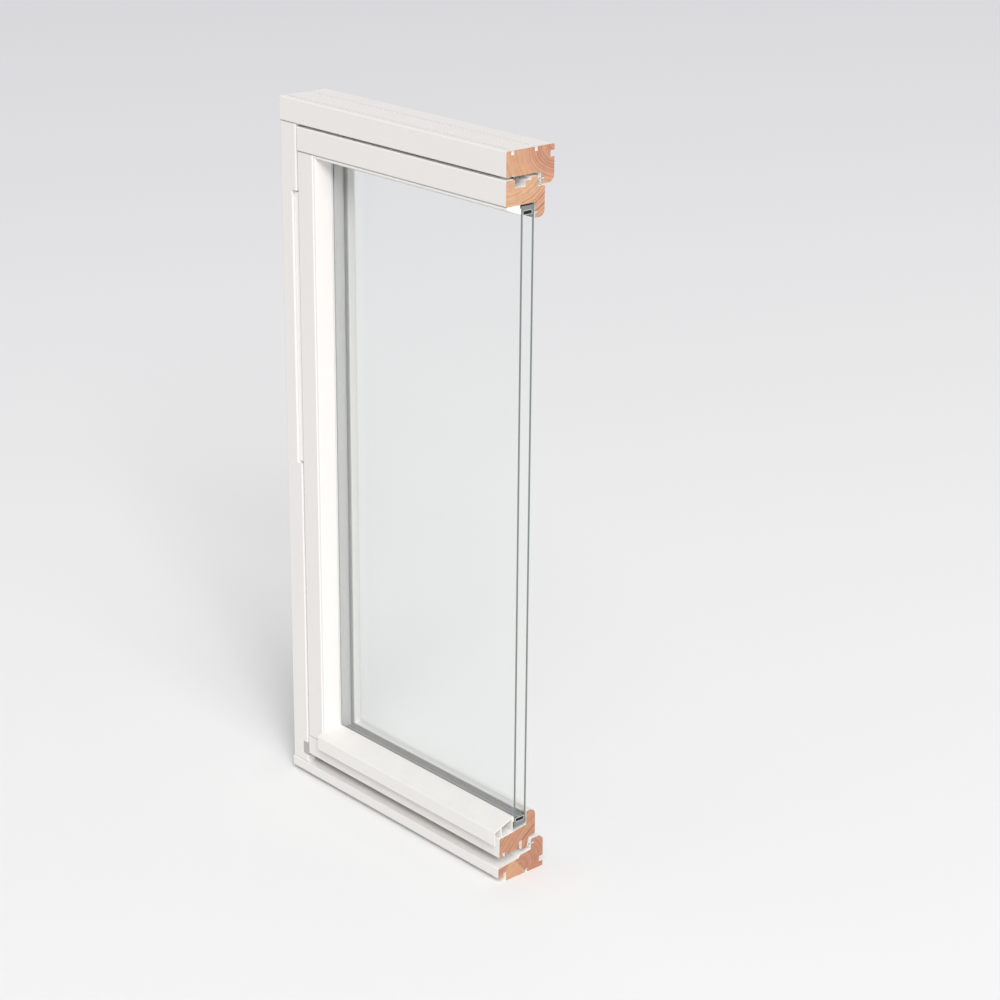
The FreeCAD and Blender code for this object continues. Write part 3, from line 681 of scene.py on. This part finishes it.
@dataclass
class Timber:
    """The frame's and the sash's painted pine members."""

    sawn_at: float
    head: Lamella = Lamella((0.060, 1.292), 0.0054, 0.078, 0.034, heart=chip(198, 147, 120))
    sill_front: Lamella = Lamella((-0.075, 0.075), 0.0060, 0.076, 0.062, chip(204, 158, 123))
    sill_back: Lamella = Lamella((0.003, 0.016), 0.0052, 0.090, 0.045)
    top_front: Lamella = Lamella((-0.040, 1.300), 0.0048, 0.066, 0.050, chip(214, 168, 133))
    top_back: Lamella = Lamella((-0.040, 1.300), 0.0066, 0.095, 0.125, chip(214, 168, 133),
                                chip(134, 82, 62), chip(208, 157, 127))
    bottom: Lamella = Lamella((0.100, -0.030), 0.0068, 0.300, 0.100, heart=chip(192, 141, 113),
                              summer=chip(134, 82, 62))

    def dress(self) -> None:
        """Paints every member, with the end grain of its layers."""
        level, tilted = (1.0, 0.0, -12.0 * MM), (0.789, 0.614, 13.7 * MM)
        members = {
            "frame_head": PaintedPine("pine_head", Run.ACROSS, self.head, self.head),
            "frame_sill": PaintedPine("pine_sill", Run.ACROSS, self.sill_front, self.sill_back, tilted),
            "frame_jamb": PaintedPine("pine_jamb", Run.UPRIGHT, self.head, self.head,
                                      joints=ends("frame_jamb")),
            # The top rail's line at the stile's top runs along its whole lower edge: a painted shadow of the
            # gap above the bead.
            "sash_top_rail": PaintedPine("pine_top_rail", Run.ACROSS, self.top_front, self.top_back, level,
                                         joints=ends("sash_stile")[1:]),
            "sash_bottom_rail": PaintedPine("pine_bottom_rail", Run.ACROSS, self.bottom, self.bottom),
            "sash_stile": PaintedPine("pine_stile", Run.UPRIGHT, self.bottom, self.bottom,
                                      joints=ends("sash_stile")),
        }
        for node, finish in members.items():
            dress(finish.build(self.sawn_at), node)


@dataclass
class WeatherSeals:
    """Hollow bulb seals pushed into the kerfs of the frame's stop."""

    foot: float = 6.5 * MM
    wall: float = 1.0 * MM
    bulb_points: int = 25
    bulb_power: float = 0.7
    runs: tuple[tuple[str, Run], ...] = (("head", Run.ACROSS), ("jamb", Run.UPRIGHT), ("sill", Run.ACROSS))
    finish: Coating = Coating("seal_white_rubber", chip(226, 226, 222), roughness=0.6, scale=420.0,
                              relief=0.1, depth=0.2 * MM, rub_and_sheen=0.0)

    def loops(self, reach: float, half: float) -> tuple[np.ndarray, np.ndarray]:
        """Draws the seal's outline and its hollow with matching points.

        The bulb is a flattened circle: out = reach times cos(a) to the bulb's power, across = half times
        sin(a). The foot is a tongue with two barbs on each side. The hollow is the bulb less the wall.

        Args:
            reach: How far the bulb stands out of the stop.
            half: Half the width of the bulb.

        Returns:
            The outline and the hollow, each as points (out, across) in metres.
        """
        angle = np.linspace(-np.pi / 2, np.pi / 2, self.bulb_points)
        bow = np.abs(np.cos(angle)) ** self.bulb_power
        bulb = np.stack([reach * bow, half * np.sin(angle)], -1)
        barbs = np.array([(0.0, 1.1), (0.25, 0.75), (0.4, 1.2), (0.44, 0.75), (0.72, 1.2), (0.76, 0.75),
                          (1.0, 0.6)])
        upper = np.stack([-self.foot * barbs[:, 0], barbs[:, 1] * MM], -1)
        lower = upper[::-1] * (1.0, -1.0)
        outline = np.concatenate([bulb, upper, lower])
        inner_reach = reach - 2 * self.wall
        pocket = np.stack([self.wall + inner_reach * bow, (half - self.wall) * np.sin(angle)], -1)
        back = np.linspace(half - self.wall, self.wall - half, 2 * len(barbs) + 2)[1:-1]
        root = np.stack([np.full_like(back, self.wall), back], -1)
        return outline, np.concatenate([pocket, root])

    def build(self) -> None:
        """Sweeps the section along each run, closes its ends round the hollow and hides the plain solid."""
        material = self.finish.build()
        for place, run in self.runs:
            node = "weather_seal_" + place
            low, high = corners(node)
            across = 2 if run is Run.ACROSS else 0
            middle = (low[across] + high[across]) / 2
            outline, hollow = self.loops(high[1] - self.foot - low[1], (high[across] - low[across]) / 2)
            section = np.stack([outline, hollow])
            length = np.array([low[run.value], high[run.value]])
            net = np.zeros((2, 2, len(outline), 3))
            net[..., run.value] = length[None, :, None]
            net[..., 1] = high[1] - self.foot - section[:, None, :, 0]
            net[..., across] = middle + section[:, None, :, 1]
            settle(ring_mesh(node + "_bulb", net[0], net[1]), node, "weather_seal", material)


class Side(Enum):
    """The three runs that go round the glass."""

    TOP = "top"
    UPRIGHT = "side"
    BOTTOM = "bottom"


def room(node: str, side: Side, before: float = DAYLIGHT, behind: float = DAYLIGHT) -> Triple:
    """Finds the room that a run has for its section.

    Args:
        node: The node whose box gives the room.
        side: Which run it is.
        before: The gap to leave before it.
        behind: The gap to leave behind it.

    Returns:
        Where the section starts and stops along y, and its width in the plane of the glass.
    """
    low, high = corners(node)
    across = 0 if side is Side.UPRIGHT else 2
    return low[1] + before, high[1] - behind, high[across] - low[across]


def carry(node: str, side: Side, section: np.ndarray, mitred_foot: bool) -> np.ndarray:
    """Carries a section along one run round the glass.

    A section's point is (y, d), with d counted inwards from the outer side of the node's box. Along the
    top, z is the box's highest less d and x starts at its lowest plus d, the mitre. Up the side, x is the
    lowest plus d and z stops at the highest less d. Along the bottom, z is the lowest plus d. At the lower
    corner the two runs meet in a mitre too, or else they butt.

    Args:
        node: The node whose box gives the place.
        side: Which run it is.
        section: The section's points.
        mitred_foot: Whether the lower corner is mitred.

    Returns:
        Two rows of points, one for each end of the run.
    """
    low, high = corners(node)
    inward = section[:, 1]
    foot = inward if mitred_foot else np.zeros_like(inward)
    rows = np.zeros((2, len(section), 3))
    rows[..., 1] = section[:, 0]
    if side is Side.UPRIGHT:
        rows[..., 0] = low[0] + inward
        rows[0, :, 2], rows[1, :, 2] = low[2] + foot, high[2] - inward
        return rows
    rows[..., 2] = high[2] - inward if side is Side.TOP else low[2] + inward
    rows[0, :, 0] = low[0] + (inward if side is Side.TOP else foot)
    rows[1, :, 0] = high[0]
    return rows


class BarFace(IntEnum):
    """The faces of a spacer bar, each with its own finish."""

    METAL = 0
    BUTYL = 1
    FILL = 2
    SEAM = 3
    SAWN = 4


@dataclass
class SealedUnit:
    """Two panes with hollow spacer bars, drying fill and a bed of sealant round their edges."""

    arris: float = 0.3 * MM
    bar_wall: float = 0.9 * MM
    bar_chamfer: float = 3.0 * MM
    seam_offset: float = 4.6 * MM
    seam_depth: float = 0.35 * MM
    seam_walls: tuple[range, ...] = (range(9, 23), range(25, 38))
    bar_ease: float = 0.4 * MM
    hollow_ease: float = 0.2 * MM
    bed_ease: float = 0.3 * MM
    bed_hollow: float = 0.5 * MM
    rolled: Triple = (0.05, 1.0, 0.05)
    glass: FloatGlass = FloatGlass()
    edge: Coating = sheltered("glass_cut_edge", chip(114, 123, 117), roughness=0.3, scale=900.0,
                              drift=0.06, relief=0.1, depth=0.1 * MM)
    bar: Coating = sheltered("spacer_rolled_aluminium", chip(222, 223, 222), roughness=0.4,
                             stretch=rolled, scale=700.0, metallic=0.4, grime=0.0)
    # The bottom bar's metal and seams are darker copies of the spacer's finish: painted shade.
    shaded_foot_bar: Coating = sheltered("spacer_aluminium_painted_shade", chip(170, 171, 169), stretch=rolled,
                                  scale=700.0, metallic=0.4, grime=0.0)
    shaded_foot_seam: Coating = sheltered("spacer_seam_painted_shade", chip(120, 121, 119), roughness=0.6, scale=700.0,
                                   grime=0.0)
    butyl: Coating = sheltered("butyl_pale_grey", chip(240, 240, 237), roughness=0.7, scale=500.0,
                               drift=0.04, grime=0.0)
    sealant: Coating = sheltered("sealant_grey", chip(128, 129, 132), roughness=0.6, scale=300.0,
                                 drift=0.08)
    # The drying beads are near-black so that the bar's hollow reads dark: painted shade on the fill and on
    # the hollow's walls.
    fill: Coating = sheltered("drying_beads_painted_shade", chip(26, 26, 27), roughness=0.8, scale=900.0, drift=0.4,
                              relief=0.9, depth=1.0 * MM)

    def build(self) -> None:
        """Builds the panes, the bars and the sealant, and dresses the fill."""
        for node in ("outer_pane", "inner_pane"):
            self.pane(node)
        coats = (self.bar, self.shaded_foot_bar, self.butyl, self.sealant, self.fill, self.shaded_foot_seam)
        bar, shaded_foot_bar, butyl, sealant, fill, seam = (coat.build() for coat in coats)
        for side in Side:
            # On the bottom run the metal and the seams take the darker copies: painted shade.
            metal, line = (shaded_foot_bar, seam) if side is Side.BOTTOM else (bar, bar)
            self.spacer("spacer_bar_" + side.value, side, (metal, butyl, fill, line, bar))
            self.bed("edge_seal_" + side.value, side, sealant)
        dress(fill, "desiccant")

    def pane(self, node: str) -> None:
        """Builds a pane with seamed edges.

        Four loops of the outline lie one behind the other, the first and the last drawn in by the arris.
        The rim between them takes the cut edge's finish and the two faces are clear.

        Args:
            node: The node that the pane stands for.
        """
        low, high = corners(node)
        depth = np.array([low[1], low[1] + self.arris, high[1] - self.arris, high[1]])[:, None]
        drawn = np.array([self.arris, 0.0, 0.0, self.arris])[:, None]
        right, up = np.array([[-1.0, 1.0, 1.0, -1.0]]), np.array([[-1.0, -1.0, 1.0, 1.0]])
        middle, half = (low + high) / 2, (high - low) / 2
        rows = np.stack([middle[0] + right * (half[0] - drawn), depth + 0 * right,
                         middle[2] + up * (half[2] - drawn)], -1)
        made = net_mesh(node + "_sheet", rows, caps=True)
        settle(made, node, "glass", self.glass.build(), self.edge.build())
        rim = np.ones(len(made.data.polygons), dtype=np.int32)
        rim[-2:] = 0
        made.data.polygons.foreach_set("material_index", rim)

    def spacer(self, node: str, side: Side, finishes: tuple[Material, ...]) -> None:
        """Builds a roll-formed spacer bar: a chamfered hollow box with two seams in the face that shows.

        The walls that lie against the panes carry a string of butyl, and the hollow's walls take the
        near-black fill, a painted shade of the hollow. On the bottom run the metal takes a darker copy of
        the bar's finish, and the seams and the face's front edge a darker tone still: painted shade. The net
        has one ring of faces for the first end, one for the outer walls, one for the sawn end and one for
        the hollow.

        Args:
            node: The node that the bar stands for.
            side: Which run it is.
            finishes: The finish of each kind of face, in the order of BarFace.
        """
        front, back, tall = room(node, side)
        middle, bend, wall = (front + back) / 2, self.bar_chamfer, self.bar_wall
        seam = np.array([-1.0, 0.0, 1.0]) * 2 * self.seam_depth
        dip = tall - self.seam_depth * np.array([0.0, 1.0, 0.0])
        places = (middle - self.seam_offset, middle + self.seam_offset)
        face = np.concatenate([np.stack([place + seam, dip], -1) for place in places])
        outer = np.concatenate([[(front, bend), (front, tall)], face,
                                [(back, tall), (back, bend), (back - bend, 0.0), (front + bend, 0.0)]])
        inner = np.stack([np.clip(outer[:, 0], front + wall, back - wall),
                          np.clip(outer[:, 1], wall, tall - wall)], -1)
        inner[2:2 + len(face), 1] = tall - wall
        outline, hollow = eased(outer, self.bar_ease), eased(inner, self.hollow_ease)
        made = ring_mesh(node + "_bar", carry(node, side, outline, True), carry(node, side, hollow, True))
        settle(made, node, "spacer_aluminium", *finishes)
        facing = np.zeros(3 * len(made.data.polygons), dtype=np.float32)
        made.data.polygons.foreach_get("normal", facing)
        around = len(outline)
        kinds = np.where(np.abs(facing[1::3]) > 0.9, BarFace.BUTYL, BarFace.METAL).astype(np.int32)
        for columns in self.seam_walls:
            kinds[around + np.array(columns)] = BarFace.SEAM
        kinds[2 * around:3 * around] = BarFace.SAWN
        # The hollow's walls take the near-black fill: painted shade.
        kinds[3 * around:] = BarFace.FILL
        made.data.polygons.foreach_set("material_index", kinds)

    def bed(self, node: str, side: Side, material: Material) -> None:
        """Builds a bed of sealant, slightly hollow on its outer face, which rises beside the bar's chamfers.

        Args:
            node: The node that the bed stands for.
            side: Which run it is.
            material: The finish.
        """
        front, back, tall = room(node, side)
        top, bend = tall - DAYLIGHT, self.bar_chamfer
        outline = np.array([(front, top), (front, 0.0), ((front + back) / 2, self.bed_hollow), (back, 0.0),
                            (back, top), (back - bend, top - bend), (front + bend, top - bend)])
        rows = carry(node, side, eased(outline[::-1], self.bed_ease), True)
        settle(net_mesh(node + "_bed", rows, caps=True), node, "edge_sealant", material)


@dataclass
class Tapes:
    """Foam tapes between the panes, the beads and the lip of the sash."""

    hollow: float = 0.4 * MM
    ease: float = 0.3 * MM
    outer: Coating = sheltered("tape_pale_grey", chip(238, 238, 235), roughness=0.75, scale=600.0,
                               drift=0.05, grime=0.0)
    inner: Coating = sheltered("tape_mid_grey", chip(203, 204, 201), roughness=0.75, scale=600.0,
                               drift=0.05)

    def build(self) -> None:
        """Builds both sets of tapes."""
        for place, finish in (("outer", self.outer), ("inner", self.inner)):
            material = finish.build()
            for side in Side:
                self.tape(f"{place}_tape_{side.value}", side, place, material)

    def tape(self, node: str, side: Side, place: str, material: Material) -> None:
        """Builds one tape: a flat strip with eased corners whose free edge is a little hollow.

        Args:
            node: The node that the tape stands for.
            side: Which run it is.
            place: Whether it lies before the outer pane or behind the inner one.
            material: The finish.
        """
        before, behind = (DAYLIGHT, 0.0) if place == "inner" else (0.0, DAYLIGHT)
        front, back, wide = room(node, side, before, behind)
        middle = ((front + back) / 2, wide - self.hollow)
        outline = np.array([(front, 0.0), (back, 0.0), (back, wide), middle, (front, wide)])
        rows = carry(node, side, eased(outline, self.ease), False)
        settle(net_mesh(node + "_strip", rows, caps=True), node, place + "_tape", material)


@dataclass
class BeadsAndFittings:
    """The sealed unit's beads and blocks, the arm with its pins and plate, and the run-up block."""

    finishes: tuple[tuple[Coating, tuple[str, ...]], ...] = (
        (Coating("bead_white_paint", chip(240, 237, 233), roughness=0.4, scale=260.0,
                 stretch=(1.0, 1.0, 0.06), drift=0.015, rub_and_sheen=0.3), ("glazing_bead_top", "glazing_bead_side")),
        # The drip bead's hollow and corners blend towards a paler tone than its coat: painted light.
        (Coating("bead_powder_coat", chip(234, 232, 228), roughness=0.5, scale=900.0, drift=0.012,
                 relief=0.2, depth=0.2 * MM, rub_and_sheen=0.3, grime=1.0, painted_corner_tone=chip(254, 253, 251),
                 reach=14.0 * MM), ("drip_bead",)),
        (Coating("cap_white_plastic", chip(234, 231, 227), roughness=0.4, scale=500.0),
         ("drip_bead_end_cap",)),
        (Coating("block_plastic", chip(70, 92, 120), roughness=0.5, scale=300.0, rub_and_sheen=0.0),
         ("setting_block", "location_blocks")),
        (Coating("arm_white_coat", chip(244, 242, 238), roughness=0.4, scale=700.0, rub_and_sheen=0.3),
         ("swing_arm",)),
        (Coating("run_up_grey_plastic", chip(178, 175, 172), scale=800.0, rub_and_sheen=0.4,
                 rubbed_and_sheen_tone=chip(190, 190, 189)), ("run_up_block",)),
        (Coating("zinc_plate", chip(188, 190, 194), roughness=0.35, scale=400.0, metallic=1.0, drift=0.06,
                 rub_and_sheen=0.3), ("arm_frame_pin", "arm_sash_pin", "pivot_plate")),
    )

    def dress(self) -> None:
        """Dresses the pieces, which keep their CAD shapes."""
        for finish, nodes in self.finishes:
            dress(finish.build(), *nodes)


@dataclass(frozen=True)
class Lamp:
    """A lamp far off: where it stands, how wide it looks from the object, and its strength."""

    name: str
    azimuth: float
    elevation: float
    spread: float
    strength: float


@dataclass
class Studio:
    """The floor, the soft light and the camera."""

    azimuth: float = 48.113
    elevation: float = 20.418
    roll: float = 0.55
    distance: float = 4.2139
    aim_right: float = 0.15692
    aim_up: float = -0.02516
    lens: float = 87.125
    sensor: float = 36.0
    sky: Colour = chip(217, 216, 219)
    sky_light: float = 0.42
    floor_radius: float = 40.0
    floor_rings: int = 24
    floor_spokes: int = 96
    floor_drift: float = 0.004
    floor_roughness: float = 0.9
    floor_gloss: float = 0.1
    floor_heading: float = 67.0
    # Floor colours along the heading, paler towards the front: painted light fall-off.
    floor_light_falloff: tuple[tuple[float, Colour], ...] = (
        (-9.0, chip(215, 214, 217)),
        (-5.0, chip(222, 221, 224)),
        (-2.2, chip(230, 230, 231)),
        (-0.8, chip(236, 236, 236)),
        (0.2, chip(241, 241, 241)),
        (0.9, chip(245, 245, 245)),
    )
    # Within reach of the footprint the floor blends towards a darker tone: painted contact shadow.
    contact_reach: float = 0.09
    contact_shade: float = 0.09
    contact_tone: Colour = chip(170, 170, 171)
    lamps: tuple[Lamp, ...] = (
        Lamp("high_lamp", 58.5, 53.0, 38.0, 1.5),
        Lamp("low_lamp", 59.5, 31.5, 19.5, 1.36),
    )

    @staticmethod
    def heading(azimuth: float, elevation: float) -> np.ndarray:
        """Returns the unit vector from the object towards a place at that azimuth and elevation."""
        turn, lift = math.radians(azimuth), math.radians(elevation)
        return np.array([math.sin(turn) * math.cos(lift), -math.cos(turn) * math.cos(lift), math.sin(lift)])

    def floor(self, footprint: Triple) -> None:
        """Lays a round floor.

        The radius grows with the square of one parameter and the angle turns along the other. Its colour
        grows paler from the back to the front, a painted fall-off of the light, and within reach of the
        footprint it blends towards a darker tone, a painted contact shadow.

        Args:
            footprint: Half the size of the object that stands on it.
        """
        radius = np.linspace(0.0, 1.0, self.floor_rings)[:, None] ** 2 * self.floor_radius
        turn = np.linspace(0.0, -2 * np.pi, self.floor_spokes, endpoint=False)[None, :]
        rows = np.stack([radius * np.cos(turn), radius * np.sin(turn), 0 * radius * turn], -1)
        made = net_mesh("studio_floor", rows, caps=False)
        close_seams(made.data, turn=False)
        material, bench, shader = fresh_material("floor_paper")
        place = bench.place()
        forward = bench.vector_maths("DOT_PRODUCT", place, tuple(self.heading(self.floor_heading, 0.0)))
        back, front = self.floor_light_falloff[0][0], self.floor_light_falloff[-1][0]
        falloff_tone = bench.add("ValToRGB", bench.span(forward, back, front))["Color"]
        stops = falloff_tone.node.color_ramp.elements
        while len(stops) < len(self.floor_light_falloff):
            stops.new(0.5)
        for stop, (distance, colour) in zip(stops, self.floor_light_falloff):
            stop.position = (distance - back) / (front - back)
            stop.color = colour
        tone = bench.effect("tone_drift", Vector=place, Color=falloff_tone, Amount=self.floor_drift, Scale=2.0)
        # Painted contact shadow: darker towards the footprint's edge.
        past = bench.vector_maths("SUBTRACT", bench.vector_maths("ABSOLUTE", place), footprint)
        clear = bench.vector_maths("LENGTH", bench.vector_maths("MAXIMUM", past, (0.0, 0.0, 0.0)))
        share = bench.span(clear, 0.0, self.contact_reach, self.contact_shade, 0.0)
        bench.fill(shader, Base_Color=bench.blend(share, tone["Color"], self.contact_tone),
                   Roughness=self.floor_roughness, Specular_IOR_Level=self.floor_gloss)
        made.data.materials.append(material)

    def light(self) -> None:
        """Sets an even sky, pale where it is seen or mirrored, and two wide lamps to the viewer's right."""
        world = bpy.data.worlds.new("studio_sky")
        world.use_nodes = True
        bench = Bench(world.node_tree)
        nodes = world.node_tree.nodes
        shining = bench.fill(nodes["Background"], Color=(1.0, 1.0, 1.0, 1.0), Strength=self.sky_light)
        seen = bench.add("Background", self.sky)
        path = bench.add("LightPath")
        mirrored = bench.maths("MAXIMUM", path["Is Glossy Ray"], path["Is Transmission Ray"])
        looked = bench.maths("MAXIMUM", path["Is Camera Ray"], mirrored)
        bench.fill(nodes["World Output"], Surface=bench.add("MixShader", looked, shining[0], seen[0])[0])
        bpy.context.scene.world = world
        for lamp in self.lamps:
            shine = bpy.data.lights.new(lamp.name, "SUN")
            shine.energy = lamp.strength
            shine.angle = math.radians(lamp.spread)
            held = stand(lamp.name, shine)
            towards = Vector(self.heading(lamp.azimuth, lamp.elevation))
            held.rotation_mode = "QUATERNION"
            held.rotation_quaternion = towards.to_track_quat("Z", "Y")
            held.visible_glossy = False
            held.visible_transmission = False

    def camera(self, height: float) -> None:
        """Places the camera.

        Args:
            height: The object's height, in metres.
        """
        back = self.heading(self.azimuth, self.elevation)
        turn, tilt = math.radians(self.azimuth), math.radians(self.roll)
        level = np.array([math.cos(turn), math.sin(turn), 0.0])
        rise = np.cross(back, level)
        right = math.cos(tilt) * level + math.sin(tilt) * rise
        up = math.cos(tilt) * rise - math.sin(tilt) * level
        spot = np.array([0.0, 0.0, height / 2]) + self.aim_right * right + self.aim_up * up
        spot = spot + self.distance * back
        lens = bpy.data.cameras.new("camera")
        lens.lens = self.lens
        lens.sensor_width = self.sensor
        lens.sensor_fit = "HORIZONTAL"
        held = stand("camera", lens)
        columns = np.stack([right, up, back, spot], -1)
        held.matrix_world = Matrix(np.vstack([columns, [0.0, 0.0, 0.0, 1.0]]).tolist())
        bpy.context.scene.camera = held


def main() -> None:
    """Builds and dresses each sub-assembly in order, then sets the studio."""
    logging.basicConfig(level=logging.INFO, format="%(name)s: %(message)s")
    bpy.context.scene.view_settings.view_transform = "Standard"
    sawn_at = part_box("frame_head")[1].x
    Timber(sawn_at).dress()
    WeatherSeals().build()
    SealedUnit().build()
    Tapes().build()
    BeadsAndFittings().dress()
    studio = Studio()
    studio.floor(tuple(CAD_BOX[1]))
    studio.light()
    studio.camera(CAD_BOX[1].z - CAD_BOX[0].z)


if __name__ == "__main__":
    main()
